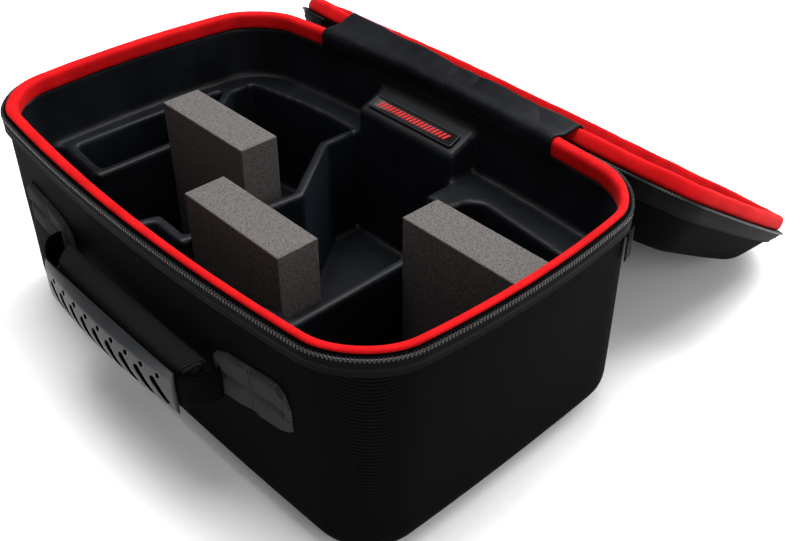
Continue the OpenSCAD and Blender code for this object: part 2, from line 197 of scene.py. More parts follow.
def bump(tree, shader, height, strength, distance):
    made = node(tree, "ShaderNodeBump")
    made.inputs["Strength"].default_value = strength
    made.inputs["Distance"].default_value = distance
    tree.links.new(height, made.inputs["Height"])
    tree.links.new(made.outputs["Normal"], shader.inputs["Normal"])


def sheen(shader, weight, roughness, tint):
    shader.inputs["Sheen Weight"].default_value = weight
    shader.inputs["Sheen Roughness"].default_value = roughness
    shader.inputs["Sheen Tint"].default_value = (*tint, 1)


def twill_material(name, dark, light, pitch, roughness=0.62, across=(0.6, -0.5, 0.62), relief=0.45,
                   specular=0.008):
    """Nylon twill: diagonal ribs cut into beads by finer threads, with slow wear in its colour."""
    material, tree, shader = new_material(name, dark, roughness, specular)
    place = position(tree)
    ribs = stripes(tree, across, pitch)
    threads = stripes(tree, (across[1], across[2], across[0]), pitch * 0.62)
    lifted = plus(tree, times(tree, threads, 0.4), 0.6)
    beads = times(tree, ribs, lifted)
    wear = noise_value(tree, place, 9.0, 4.0)
    fuzz = noise_value(tree, place, 1400, 2.0)
    tone = plus(tree, times(tree, beads, 0.55), times(tree, plus(tree, wear, fuzz), 0.25))
    tint(tree, shader, tone, dark, light, 0.22, 0.8)
    roughen(tree, shader, wear, roughness - 0.08, roughness + 0.12)
    bump(tree, shader, beads, relief, 0.16 * MM)
    return material


def velvet_material():
    material, tree, shader = new_material("red_velvet", (0.6, 0.004, 0.008), 0.8, 0.06)
    place = position(tree)
    pile = noise_value(tree, place, 2600, 2.0)
    nap = noise_value(tree, place, 45, 3.0)
    tone = plus(tree, times(tree, pile, 0.35), times(tree, nap, 0.65))
    tint(tree, shader, tone, (0.27, 0.0010, 0.0020), (0.55, 0.005, 0.007), 0.3, 0.7)
    bump(tree, shader, tone, 0.35, 0.15 * MM)
    sheen(shader, 0.16, 0.3, (1.0, 0.16, 0.12))
    return material


def tricot_material(name, dark, light, gloss):
    """Brushed tricot over moulded foam: fine ribs, with a cool sheen where the surface turns."""
    material, tree, shader = new_material(name, dark, 0.5, 0.17)
    place = position(tree)
    ribs = stripes(tree, (0.75, 0.6, 0.3), 1.5 * MM)
    cross = stripes(tree, (-0.4, 0.3, 0.85), 2.2 * MM)
    mottled = noise_value(tree, place, 30, 4.0)
    fine = noise_value(tree, place, 1500, 2.0)
    knit = times(tree, times(tree, ribs, cross), 0.6)
    height = plus(tree, knit, times(tree, fine, 0.5))
    tint(tree, shader, mottled, dark, light, 0.3, 0.75)
    roughen(tree, shader, mottled, 0.36, 0.54)
    bump(tree, shader, height, 0.35, 0.1 * MM)
    sheen(shader, gloss, 0.42, (0.42, 0.55, 0.78))
    return material


def foam_material(name, dark, light):
    """Open-cell foam: dark pores of two sizes between pale cell walls."""
    material, tree, shader = new_material(name, light, 0.95, 0.08)
    place = position(tree)

    def pores(scale):
        made = node(tree, "ShaderNodeTexVoronoi")
        made.inputs["Scale"].default_value = scale
        tree.links.new(place, made.inputs["Vector"])
        return made.outputs["Distance"]
    cells = times(tree, pores(2400), pores(950))
    tone = plus(tree, times(tree, cells, 1.6), times(tree, noise_value(tree, place, 1300, 4.0), 0.55))
    tint(tree, shader, tone, dark, light, 0.3, 0.75)
    bump(tree, shader, tone, 0.6, 0.2 * MM)
    return material


def rubber_material(name, colour, roughness, specular=0.3):
    material, tree, shader = new_material(name, colour, roughness, specular)
    place = position(tree)
    grain = noise_value(tree, place, 1800, 2.0)
    scuff = noise_value(tree, place, 60, 5.0)
    worn, fresh = tuple(1.3 * c for c in colour), tuple(0.75 * c for c in colour)
    tint(tree, shader, scuff, fresh, worn, 0.3, 0.7)
    roughen(tree, shader, scuff, roughness - 0.08, roughness + 0.1)
    bump(tree, shader, grain, 0.25, 0.08 * MM)
    return material


def plain_weave_material(name, dark, light, pitch, roughness):
    """Flat woven tape or smooth hinge cloth: a square weave with soft creases in its bumps and roughness;
    the creases also darken and lighten its colour as painted shade and light.
    """
    material, tree, shader = new_material(name, dark, roughness, 0.05)
    place = position(tree)
    warp = stripes(tree, (1, 0.35, 0.1), pitch)
    weft = stripes(tree, (-0.2, 0.5, 1), pitch)
    weave = times(tree, warp, weft)
    crease_and_painted_shade = noise_value(tree, place, 26, 4.0)
    # the colour follows the weave and the crease noise: painted shade and light on the creases
    tone = plus(tree, times(tree, weave, 0.4), times(tree, crease_and_painted_shade, 0.6))
    tint(tree, shader, tone, dark, light, 0.3, 0.75)
    roughen(tree, shader, crease_and_painted_shade, roughness - 0.08, roughness + 0.1)
    bump(tree, shader, tone, 0.3, 0.1 * MM)
    return material


def metal_material():
    material, tree, shader = new_material("slider_paint", (0.02, 0.02, 0.022), 0.38, 0.5)
    chips = noise_value(tree, position(tree), 700, 4.0)
    tint(tree, shader, chips, (0.015, 0.015, 0.016), (0.05, 0.05, 0.052), 0.45, 0.8)
    bump(tree, shader, chips, 0.15, 0.05 * MM)
    return material


NYLON = twill_material("nylon_twill", (0.0005, 0.0005, 0.0006), (0.0040, 0.0040, 0.0046), 1.25 * MM)
SLEEVE = twill_material("sleeve_twill", (0.0040, 0.0040, 0.0044), (0.024, 0.0242, 0.026), 1.15 * MM,
                        across=(0.7, -0.7, 0.15), relief=0.3, specular=0.03)
WEBBING = twill_material("webbing_twill", (0.0006, 0.0006, 0.0007), (0.0036, 0.0036, 0.0040), 1.3 * MM,
                         relief=0.25)
PATCH = twill_material("patch_twill", (0.017, 0.017, 0.0175), (0.042, 0.042, 0.0435), 0.95 * MM, 0.6,
                       relief=0.12)
VELVET = velvet_material()
TRICOT = tricot_material("tray_tricot", (0.0009, 0.0012, 0.0018), (0.0036, 0.0046, 0.0068), 0.03)
LINING = tricot_material("lid_tricot", (0.0012, 0.0013, 0.0016), (0.0042, 0.0044, 0.0054), 0.02)
# two copies of one foam: the lighter one is painted light on the upward faces, the darker one is painted
# shade on the sides
FOAM = foam_material("foam_painted_shaded_side", (0.018, 0.0168, 0.0162), (0.074, 0.0690, 0.0665))
FOAM_PAINTED_LIT_TOP = foam_material("foam_painted_lit_top", (0.033, 0.0300, 0.0288), (0.098, 0.0905, 0.0868))
RUBBER = rubber_material("grip_rubber", (0.0095, 0.0106, 0.0134), 0.42)
# near-black rubber for the slots' walls and floors: painted shade in the recesses
SLOT_PAINTED_SHADE = rubber_material("slot_painted_shade_rubber", (0.0006, 0.0006, 0.0007), 0.85, 0.02)
LABEL = rubber_material("label_rubber", (0.003, 0.003, 0.0035), 0.45)
LABEL_RED = rubber_material("label_red", (0.50, 0.004, 0.006), 0.5)
HINGE_CLOTH = plain_weave_material("hinge_cloth", (0.0012, 0.0014, 0.0020), (0.0095, 0.0104, 0.0135),
                                   0.9 * MM, 0.42)
TAPE = plain_weave_material("zip_tape", (0.0012, 0.0012, 0.0014), (0.0050, 0.0050, 0.0055), 1.0 * MM,
                            0.65)
COIL = rubber_material("zip_coil", (0.0075, 0.0075, 0.0080), 0.32, 0.35)
THREAD = plain_weave_material("thread", (0.0008, 0.0008, 0.0009), (0.004, 0.004, 0.0044), 0.25 * MM,
                              0.6)
METAL = metal_material()


# ---- mesh helpers ----------------------------------

# faces of a block made of four points and the four above them
BLOCK_FACES = [(0, 3, 2, 1), (4, 5, 6, 7), (0, 1, 5, 4), (1, 2, 6, 5), (2, 3, 7, 6), (3, 0, 4, 7)]


def add_object(name, mesh, *materials):
    made = bpy.data.objects.new(name, mesh)
    bpy.context.scene.collection.objects.link(made)
    for material in materials:
        mesh.materials.append(material)
    return made


def shade_smooth(mesh, smooth=True):
    for polygon in mesh.polygons:
        polygon.use_smooth = smooth


def make_object(name, vertices, faces, material, smooth=True):
    mesh = bpy.data.meshes.new(name)
    mesh.from_pydata([tuple(v) for v in vertices], [], faces)
    mesh.validate()
    work = bmesh.new()
    work.from_mesh(mesh)
    bmesh.ops.recalc_face_normals(work, faces=work.faces)
    work.to_mesh(mesh)
    work.free()
    shade_smooth(mesh, smooth)
    return add_object(name, mesh, material)


def finish_piece(piece, body, slot, *nodes):
    """Rides the piece on its body, in place of these CAD nodes."""
    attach(piece, body)
    if nodes:
        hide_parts(*nodes)
    return piece


def apply_modifiers(piece):
    graph = bpy.context.evaluated_depsgraph_get()
    mesh = bpy.data.meshes.new_from_object(piece.evaluated_get(graph))
    piece.modifiers.clear()
    piece.data = mesh


def loop_faces(rings, points, close_rings=False):
    """Quads between rings of points; the rings themselves are closed."""
    last = rings if close_rings else rings - 1
    return [(i * points + j, i * points + (j + 1) % points,
             (i + 1) % rings * points + (j + 1) % points, (i + 1) % rings * points + j)
            for i in range(last) for j in range(points)]


def strip_faces(rows, points):
    """Quads along a strip whose rows are closed sections, with both ends capped."""
    faces = [(i * points + j, i * points + (j + 1) % points,
              (i + 1) * points + (j + 1) % points, (i + 1) * points + j)
             for i in range(rows - 1) for j in range(points)]
    faces.append(tuple(range(points - 1, -1, -1)))
    faces.append(tuple((rows - 1) * points + j for j in range(points)))
    return faces


def swept(name, rows, material, closed=True):
    """Mesh over rows of closed sections; a closed sweep joins its last row to its first."""
    points = len(rows[0])
    faces = loop_faces(len(rows), points, True) if closed else strip_faces(len(rows), points)
    return make_object(name, [p for row in rows for p in row], faces, material)


# ---- outlines --------------------------------------

# points along a corner, a long side and a short side
CORNER, LONG, SHORT = 16, 40, 26
# which way each corner lies, anticlockwise from the back right
QUARTERS = ((1, 1), (-1, 1), (-1, -1), (1, -1))


def outline(half_x, half_y, radius, bow_x, bow_y):
    """Rounded rectangle with bowed sides, anticlockwise from the back-right corner's start."""
    cx, cy = half_x - radius, half_y - radius
    points = []
    for quarter, (sx, sy) in enumerate(QUARTERS):
        for i in range(CORNER):
            angle = math.radians(90 * (quarter + i / CORNER))
            points.append((sx * cx + radius * math.cos(angle), sy * cy + radius * math.sin(angle)))
        steps = (LONG, SHORT)[quarter % 2]
        ends = (((cx, half_y), (-cx, half_y)), ((-half_x, cy), (-half_x, -cy)),
                ((-cx, -half_y), (cx, -half_y)), ((half_x, -cy), (half_x, cy)))[quarter]
        for i in range(steps):
            t = i / steps
            points.append((ends[0][0] * (1 - t) + ends[1][0] * t, ends[0][1] * (1 - t) + ends[1][1] * t))
    p = np.array(points)
    x, y = p[:, 0], p[:, 1]
    return np.column_stack((
        x + np.sign(x) * bow_x * (1 - (y / half_y) ** 2) * (np.abs(x) / half_x) ** 4,
        y + np.sign(y) * bow_y * (1 - (x / half_x) ** 2) * (np.abs(y) / half_y) ** 4))


def rim(out):
    """The rim's outline, moved outward."""
    return outline(RIM_X + out, RIM_Y + out, RIM_RADIUS + out, BOW_SHORT, BOW_LONG)


def base_outline(z, inset, floor=0.0, fillet=FILLET):
    """The base's outline at height z; its bottom edge is rounded from the floor up."""
    k = z / SEAM
    up = z - floor
    rounding = 0 if up >= fillet else fillet - math.sqrt(max(0, fillet ** 2 - (fillet - up) ** 2))
    t = inset + rounding
    radius = max(6 * MM, (RIM_RADIUS + PROUD) * k + BOTTOM_RADIUS * (1 - k) - t * 0.8)
    return outline((RIM_X + PROUD) * k + (RIM_X + BOTTOM_GROW[0]) * (1 - k) - t,
                   (RIM_Y + PROUD) * k + (RIM_Y + BOTTOM_GROW[1]) * (1 - k) - t, radius,
                   BOW_SHORT * k + BOTTOM_BOW[0] * (1 - k), BOW_LONG * k + BOTTOM_BOW[1] * (1 - k))


def lid_ring(h, inset, depth):
    """A ring of the closed lid at h above the seam; the lid is deeper at the hinge."""
    over = h - (depth - LID_ROUND)
    t = inset + (LID_ROUND - math.sqrt(max(0, LID_ROUND ** 2 - over ** 2)) if over > 0 else 0)
    back = RIM_Y + PROUD - LEAN_BACK * h - t
    front = RIM_Y + PROUD - LEAN_FRONT * h - t
    fade = max(0.25, 1 - h / depth)
    flat = outline(RIM_X + PROUD - LEAN_SHORT * h - t, (back + front) / 2,
                   max(8 * MM, RIM_RADIUS - t), BOW_SHORT * fade, BOW_LONG * fade)
    flat[:, 1] += (back - front) / 2
    return np.column_stack((flat, SEAM + h * (1 + LID_SLOPE * flat[:, 1] / depth)))


def ring_at(flat, z):
    return np.column_stack((flat, np.full(len(flat), z)))


def capped_solid(name, rings, material, steps=7):
    """Solid over a stack of rings; each end closes in shrinking rings so that it shades well."""
    def shrink(ring):
        centre = ring.mean(0)
        return [centre + (ring - centre) * (1 - (i + 1) / (steps + 1)) for i in range(steps)]
    stack = shrink(rings[0])[::-1] + list(rings) + shrink(rings[-1])
    points = len(rings[0])
    faces = loop_faces(len(stack), points)
    faces.append(tuple(range(points)))
    faces.append(tuple((len(stack) - 1) * points + j for j in range(points - 1, -1, -1)))
    return make_object(name, [p for ring in stack for p in ring], faces, material)


def ripple(piece, amount, size, seed):
    """Moves each point along its normal, in waves of this size, as hand-sewn cloth lies."""
    shift = Vector((seed * 0.37, seed * 0.11, seed * 0.23))
    mesh = piece.data
    normals = [v.normal.copy() for v in mesh.vertices]
    for v, n in zip(mesh.vertices, normals):
        v.co += n * amount * noise.noise(v.co / size + shift)


def outward(flat):
    """Unit vectors that point out of an anticlockwise outline."""
    d = np.roll(flat, -1, 0) - np.roll(flat, 1, 0)
    return np.column_stack((d[:, 1], -d[:, 0])) / np.linalg.norm(d, axis=1)[:, None]


# ---- base shell and lid shell ----------------------

def base_shell():
    heights = [0, 0.3, 1, 2, 3.5, 5.5, 8, 11, 14, 17, 20, 30, 45, 60, 75, 90, 105, 115, 123, 128, 131.2]
    inner = [131.2, 124, 75, 20, 15, 11, 8, 5, 3.2]
    rings = [ring_at(base_outline(z * MM, 0), z * MM) for z in heights]
    rings += [ring_at(base_outline(z * MM, WALL, WALL, FILLET - WALL), z * MM) for z in inner]
    piece = capped_solid("base_shell_skin", rings, NYLON)
    # the walls are a little uneven, and the flat bottom stays flat
    mesh = piece.data
    for v in mesh.vertices:
        fade = min(1.0, max(0.0, (v.co.z - 6 * MM) / (20 * MM)))
        v.co += v.normal * fade * 0.28 * MM * noise.noise(v.co / 0.045)
    finish_piece(piece, "base", "nylon", "base_shell")


def lid_shell():
    inner_depth = LID_DEPTH - WALL
    rise = [0.3, 4, 8, 12, 18, 24, 26, 28, 30, 31.5, 32.5, 33]
    inside = [29.8, 29, 27, 25, 21, 12, 4, 0.3]
    rings = [lid_ring(h * MM, WALL, inner_depth) for h in inside]
    rings += [lid_ring(h * MM, 0, LID_DEPTH) for h in rise]
    piece = capped_solid("lid_shell_skin", rings, NYLON)
    ripple(piece, 0.3 * MM, 50 * MM, seed=3)
    piece.data.transform(LID_OPEN)
    finish_piece(piece, "lid", "nylon", "lid_shell")


def lid_lining():
    depth = LID_DEPTH - WALL - 0.2 * MM
    thick = 1.2 * MM
    inset = WALL + 0.6 * MM
    levels = [3.6, 8, 14, 20, 23, 26, 28, 29]
    rings = [lid_ring(h * MM, inset + thick, depth - thick) for h in [28.4, 27.8, 26, 23, 20, 14, 8, 3.6]]
    rings += [lid_ring(h * MM, inset, depth) for h in levels + [depth / MM]]
    piece = capped_solid("lid_lining_skin", rings, LINING)
    ripple(piece, 0.5 * MM, 40 * MM, seed=5)
    piece.data.transform(LID_OPEN)
    finish_piece(piece, "lid", "tricot", "lid_lining")


# ---- padded bands ----------------------------------

def rounded_section(points, steps=3):
    """Smooths a closed section by cutting its corners."""
    p = np.array(points, float)
    for _ in range(steps):
        q = np.roll(p, -1, 0)
        p = np.stack((p * 0.75 + q * 0.25, p * 0.25 + q * 0.75), 1).reshape(-1, 2)
    return p


def ease(t):
    t = min(1.0, max(0.0, t))
    return t * t * (3 - 2 * t)


def band_rows(section, sense):
    """Sections round the rim; the padding swells and dips a little along its length."""
    base = rim(0)
    middle = section.mean(0)
    wave, softness = 20 * MM, 1.0 if sense > 0 else 2.6
    rows = []
    for p, n in zip(base, outward(base)):
        place = Vector((p[0] / wave, p[1] / wave, 3.0 * sense))
        swell = 1 + softness * (0.035 * noise.noise(place) + 0.02 * noise.noise(place * 3.7))
        part = middle + (section - middle) * swell
        # the base's band is narrower along its front and right
        narrow = 1 - (0.34 * ease(n[0] * 0.8 - n[1] * 0.6 + p[0] / 0.3) if sense > 0 else 0.0)
        rows.append([(p[0] + n[0] * u * narrow, p[1] + n[1] * u * narrow, SEAM + h) for u, h in part])
    return rows


def base_band():
    top = BAND_TOP - SEAM + 0.3 * MM
    section = rounded_section([(0, 0.2 * MM), (-0.1 * MM, top - 0.6 * MM), (-2.0 * MM, top),
                               (-4.8 * MM, top), (-6.6 * MM, top - 1.5 * MM), (-6.7 * MM, -2.6 * MM),
                               (-6.4 * MM, -8 * MM), (-3.0 * MM, -8 * MM), (-2.9 * MM, 0.3 * MM)])
    piece = swept("base_band", band_rows(section, 1), VELVET)
    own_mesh(finish_piece(piece, "base", "red_binding", "base_binding"))


def lid_band():
    section = rounded_section([(-0.3 * MM, -0.1 * MM), (-0.3 * MM, 2.4 * MM - LIP),
                               (-1.8 * MM, -LIP - 0.2 * MM), (-4.6 * MM, -LIP - 0.2 * MM),
                               (-6.1 * MM, 2.4 * MM - LIP), (-7.3 * MM, 3 * MM), (-6.2 * MM, 3 * MM),
                               (-5.4 * MM, -0.1 * MM)])
    piece = swept("lid_band", band_rows(section, -1), VELVET)
    piece.data.transform(LID_OPEN)
    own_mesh(finish_piece(piece, "lid", "red_binding", "lid_binding"))


# ---- zip -------------------------------------------

def zip_points():
    """Numbers of the outline points that the zip runs past, from back left round to back right."""
    flat = rim(0)
    order = [(CORNER + LONG // 2 + i) % len(flat) for i in range(len(flat))]
    return [i for i in order if flat[i][1] < 0 or abs(flat[i][0]) > ZIP_END]


def zip_path(out):
    """The zip's run round three sides, moved outward, as points and their outward directions."""
    flat = rim(0)
    n = outward(flat)
    keep = zip_points()
    return (flat + n * out)[keep], n[keep]


# where each body's half of the zip goes from its place in the closed case
ZIP_PLACE = {"base": Matrix.Identity(4), "lid": LID_OPEN}


def zip_tape(body):
    """Ribbed tape along the zip. It lies on the base's upright wall, or on the lid's leaning one."""
    inner, thick = 1.25 * MM, 1.3 * MM
    low, high = 10.4 * MM, 2.3 * MM
    ridge = 0.45 * MM
    section = [(inner, -low), (inner + thick * 0.7, -low), (inner + thick + ridge, -low + 0.9 * MM),
               (inner + thick, -low + 1.9 * MM), (inner + thick, -low + 4.4 * MM),
               (inner + thick + ridge, -low + 5.2 * MM), (inner + thick, -low + 6 * MM),
               (inner + thick, -high), (inner + thick * 0.8, -1.5 * MM), (inner + thick * 0.3, -1.5 * MM),
               (inner, -high)]
    if body == "lid":
        rings = [lid_ring(-h, PROUD - u, LID_DEPTH) for u, h in section]
        rows = [[ring[i] for ring in rings] for i in zip_points()]
    else:
        rows = [[(p[0] + n[0] * u, p[1] + n[1] * u, SEAM + h) for u, h in section]
                for p, n in zip(*zip_path(0))]
    piece = swept(body + "_tape", rows, TAPE, closed=False)
    piece.data.transform(ZIP_PLACE[body])
    finish_piece(piece, body, "zip_tape", body + "_zip_tape")


def zip_coil(body):
    """The coil's teeth as small tapered blocks on a cord, evenly spaced along the zip."""
    sense = 1 if body == "base" else -1
    points, normals = zip_path(2.2 * MM)
    steps = np.linalg.norm(np.diff(points, axis=0), axis=1)
    along = np.concatenate(([0], np.cumsum(steps)))
    pitch = 1.9 * MM
    vertices, faces = [], []
    block = [(-0.55, -1.0, -0.55), (0.55, -1.0, -0.55), (0.55, 1.0, -0.7), (-0.55, 1.0, -0.7),
             (-0.38, -0.8, 0.4), (0.38, -0.8, 0.4), (0.38, 0.8, 0.6), (-0.38, 0.8, 0.6)]
    height = SEAM - sense * 0.75 * MM
    for s in np.arange(pitch / 2, along[-1], pitch):
        i = min(len(steps) - 1, int(np.searchsorted(along, s) - 1))
        t = (s - along[i]) / steps[i]
        p = points[i] * (1 - t) + points[i + 1] * t
        n = normals[i] * (1 - t) + normals[i + 1] * t
        n = n / np.linalg.norm(n)
        first = len(vertices)
        vertices += [(p[0] + n[0] * b * MM - n[1] * a * MM, p[1] + n[1] * b * MM + n[0] * a * MM,
                      height + sense * c * MM) for a, b, c in block]
        faces += [tuple(first + q for q in quad) for quad in BLOCK_FACES]
    radius, sides = 0.55, 8
    cord = [(radius * math.cos(a) * MM, radius * math.sin(a) * MM)
            for a in np.linspace(0, 2 * math.pi, sides, False)]
    rows = [[(p[0] + n[0] * u, p[1] + n[1] * u, height - sense * 0.2 * MM + h) for u, h in cord]
            for p, n in zip(points, normals)]
    first = len(vertices)
    vertices += [p for row in rows for p in row]
    faces += [tuple(first + q for q in face) for face in strip_faces(len(rows), sides)]
    piece = make_object(body + "_coil", vertices, faces, COIL, smooth=False)
    piece.data.transform(ZIP_PLACE[body])
    finish_piece(piece, body, "zip_coil", body + "_zip_coil")


# ---- moulded tray ----------------------------------

def moulded_tray():
    """One continuous skin over the tray's solids, with every edge rounded as moulding leaves it."""
    names = ["tray_liner", "divider_left", "divider_middle", "divider_right", "ledge_left",
             "ledge_back_left", "ledge_back_right", "label_boss"]
    vertices, faces = [], []
    # each solid grows a little, so that neighbours join
    grow = 0.15 * MM
    for name in names:
        mesh = frame["nodes"][name].data
        work = bmesh.new()
        work.from_mesh(mesh)
        bmesh.ops.remove_doubles(work, verts=work.verts, dist=1e-6)
        bmesh.ops.recalc_face_normals(work, faces=work.faces)
        work.normal_update()
        first = len(vertices)
        vertices += [tuple(v.co + v.normal * grow) for v in work.verts]
        work.verts.index_update()
        faces += [tuple(first + v.index for v in f.verts) for f in work.faces]
        work.free()
    piece = make_object("moulded_tray", vertices, faces, TRICOT)
    piece.modifiers.new("skin", "REMESH").mode = "VOXEL"
    piece.modifiers["skin"].voxel_size = 1.5 * MM
    relax = piece.modifiers.new("relax", "SMOOTH")
    relax.factor = 0.5
    relax.iterations = 12
    apply_modifiers(piece)
    shade_smooth(piece.data)
    finish_piece(piece, "base", "tricot", *names)


def label():
    """Raised rubber plate with a rounded border and a row of plain red slanted bars."""
    low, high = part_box("label_plate")
    slope = math.atan2(high.z - low.z - 1.2 * MM, high.y - low.y)
    place = Matrix.Translation((low + high) / 2) @ Matrix.Rotation(slope, 4, "X")
    half_x, half_y = (high.x - low.x) / 2, 5.3 * MM
    levels = [(0, -0.7), (0, 0.5), (0.35, 0.85), (0.9, 0.85), (1.25, 0.5), (1.4, 0.15)]
    rings = [ring_at(outline_small(half_x - o * MM, half_y - o * MM, 1.8 * MM - o * 0.7 * MM), z * MM)
             for o, z in levels]
    piece = capped_solid("label", rings, LABEL, steps=1)
    piece.data.transform(place)
    finish_piece(piece, "base", "label_rubber", "label_plate")
    vertices, faces = [], []
    bars, pitch = 19, 3.1
    bar, tall, lean = 1.7 * MM, 2.1 * MM, 1.1 * MM
    for i in range(bars):
        x = (i - bars // 2) * pitch * MM
        first = len(vertices)
        for z in (0.1 * MM, 0.5 * MM):
            vertices += [(x - bar / 2 - lean, -tall, z), (x + bar / 2 - lean, -tall, z),
                         (x + bar / 2 + lean, tall, z), (x - bar / 2 + lean, tall, z)]
        faces += [tuple(first + q for q in quad) for quad in BLOCK_FACES]
    motif = make_object("label_motif", vertices, faces, LABEL_RED, smooth=False)
    motif.data.transform(place)
    finish_piece(motif, "base", "red_binding")


def outline_small(half_x, half_y, radius):
    """Rounded rectangle with straight sides."""
    steps = 5
    points = []
    for quarter, (sx, sy) in enumerate(QUARTERS):
        for i in range(steps + 1):
            angle = math.radians(90 * (quarter + i / steps))
            points.append((sx * (half_x - radius) + radius * math.cos(angle),
                           sy * (half_y - radius) + radius * math.sin(angle)))
    return np.array(points)


# ---- foam spacers ----------------------------------

def foam(side):
    """Foam block cut from a sheet: crisp but not sharp edges, faces that are not quite flat."""
    low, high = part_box("foam_spacer_" + side)
    edge, uneven, wave = 0.45 * MM, 0.06 * MM, 12 * MM
    work = bmesh.new()
    bmesh.ops.create_cube(work, size=1.0)
    for v in work.verts:
        v.co = Vector([(a + b) / 2 + c * (b - a) for a, b, c in zip(low, high, v.co)])
    bmesh.ops.bevel(work, geom=work.edges[:], offset=edge, segments=1, affect="EDGES")
    long_edges = [e for e in work.edges if e.calc_length() > 10 * MM]
    bmesh.ops.subdivide_edges(work, edges=long_edges, cuts=24, use_grid_fill=True)
    mesh = bpy.data.meshes.new("foam_block_" + side)
    work.to_mesh(mesh)
    work.free()
    piece = add_object("foam_block_" + side, mesh, FOAM, FOAM_PAINTED_LIT_TOP)
    seed = {"left": 1, "middle": 2, "right": 3}[side]
    shift = Vector((seed, seed * 2, seed * 3))
    for v in mesh.vertices:
        v.co += v.normal * (uneven * noise.noise(v.co / wave + shift) - uneven)
    for polygon in mesh.polygons:
        polygon.use_smooth = False
        # upward faces take the lighter copy as painted light; the rest take the darker copy as painted
        # shade
        polygon.material_index = 1 if polygon.normal.z > 0.4 else 0
    finish_piece(piece, "foam_" + side, "foam", "foam_spacer_" + side)


# ---- handle ----------------------------------------

# in millimetres: how far forward the handle stands at its ends, how much further halfway, and half
# its length
HANDLE_REACH, HANDLE_BOW, HANDLE_HALF = 123.5, 0.5, 75


def handle_line(x):
    """The handle's middle line in plan, in metres, at x millimetres."""
    return -(HANDLE_REACH + HANDLE_BOW * (1 - (x / HANDLE_HALF) ** 2)) * MM


def handle_sweep(name, half_length, section, rows, material, taper=0.0, splay=0.0, slim=0.0, shear=0.0):
    """Sweeps a section, given as (outward, up) in millimetres, along the handle.

    Its ends may taper, splay towards the wall or thin out; it may also lean right near the wall.
    """
    back, taper_from = 1.4 * MM, 0.86
    shape = rounded_section([(u * MM, h * MM) for u, h in section], 2)
    middle = shape.mean(0)
    made = []
    for x in np.linspace(-half_length, half_length, rows):
        t = abs(x) / half_length
        size = 1 - taper * max(0.0, (t - taper_from) / (1 - taper_from)) ** 2
        part = middle + (shape - middle) * size
        part[:, 0] = back + (part[:, 0] - back) * (1 - slim * t * t)
        made.append([(x * MM * (1 - splay * u / MM) - shear * u, handle_line(x) - u, GRIP_TOP + h)
                     for u, h in part])
    return swept(name, made, material, closed=False)


def inflate(piece, voxel, most):
    """Cloth filled from inside by air pressure; no point moves further than `most`."""
    pressure, moments = 4, 20
    remesh = piece.modifiers.new("weave", "REMESH")
    remesh.mode = "VOXEL"
    remesh.voxel_size = voxel
    apply_modifiers(piece)
    start = [v.co.copy() for v in piece.data.vertices]
    cloth = piece.modifiers.new("cloth", "CLOTH")
    cloth.settings.use_pressure = True
    cloth.settings.uniform_pressure_force = pressure
    cloth.settings.effector_weights.gravity = 0
    for moment in range(1, moments + 1):
        bpy.context.scene.frame_set(moment)
    apply_modifiers(piece)
    bpy.context.scene.frame_set(1)
    for v, before in zip(piece.data.vertices, start):
        move = v.co - before
        if move.length > most:
            v.co = before + move * (most / move.length)
    piece.modifiers.new("round", "SUBSURF").levels = 1
    apply_modifiers(piece)
    shade_smooth(piece.data)


def handle():
    """Padded sleeve, rubber grip and webbing; each section is seen from the handle's end."""
    sleeve = [(-12.0, -16), (-8, -20.5), (-2.4, -21.5), (-1.9, -1.4), (-7.0, 0.9), (-12.4, 5.6),
              (-13.6, 5.0), (-12.4, 0)]
    pad = handle_sweep("handle_sleeve", 58, sleeve, rows=60, material=SLEEVE, taper=0.16, splay=0.0125,
                       shear=0.32)
    inflate(pad, voxel=3.0 * MM, most=0.6 * MM)
    ripple(pad, 0.3 * MM, 14 * MM, seed=9)
    finish_piece(pad, "handle", "nylon", "handle_pad")
    rubber = [(1.4, -25), (3.4, -27), (7.0, -22), (8.2, -15), (7.0, -5.2), (6.0, -3.6), (2.6, 0.2),
              (1.4, 0)]
    grip = handle_sweep("grip_rubber", GRIP_HALF / MM, rubber, rows=90, material=RUBBER, slim=0.7)
    cut_slots(grip)
    finish_piece(grip, "handle", "grip_rubber", "handle_grip")
    straps()


def cut_slots(grip):
    """Slanted slots, each with a round hole above it, cut into the grip's outer face."""
    vertices, faces = [], []
    count, pitch = 9, 12.4
    # the cutter reaches from outside the grip's face to a depth that leaves its back whole
    outside, bottom = -14.0, -3.6
    for i in range(count):
        x0 = (i - (count - 1) / 2) * pitch
        for shape in (slot_outline(x0), hole_outline(x0)):
            first, n = len(vertices), len(shape)
            for depth in (outside, bottom):
                vertices += [(x * MM, handle_line(x) + depth * MM, GRIP_TOP + z * MM) for x, z in shape]
            faces.append(tuple(first + j for j in range(n)))
            faces.append(tuple(first + n + j for j in range(n - 1, -1, -1)))
            faces += [(first + j, first + n + j, first + n + (j + 1) % n, first + (j + 1) % n)
                      for j in range(n)]
    cutter = make_object("slot_cutter", vertices, faces, SLOT_PAINTED_SHADE, smooth=False)
    # the cutter's near-black rubber passes to the slots' walls and floors as painted shade
    grip.data.materials.append(SLOT_PAINTED_SHADE)
    carve = grip.modifiers.new("slots", "BOOLEAN")
    carve.operation = "DIFFERENCE"
    carve.solver = "EXACT"
    carve.object = cutter
    apply_modifiers(grip)
    bpy.data.objects.remove(cutter)


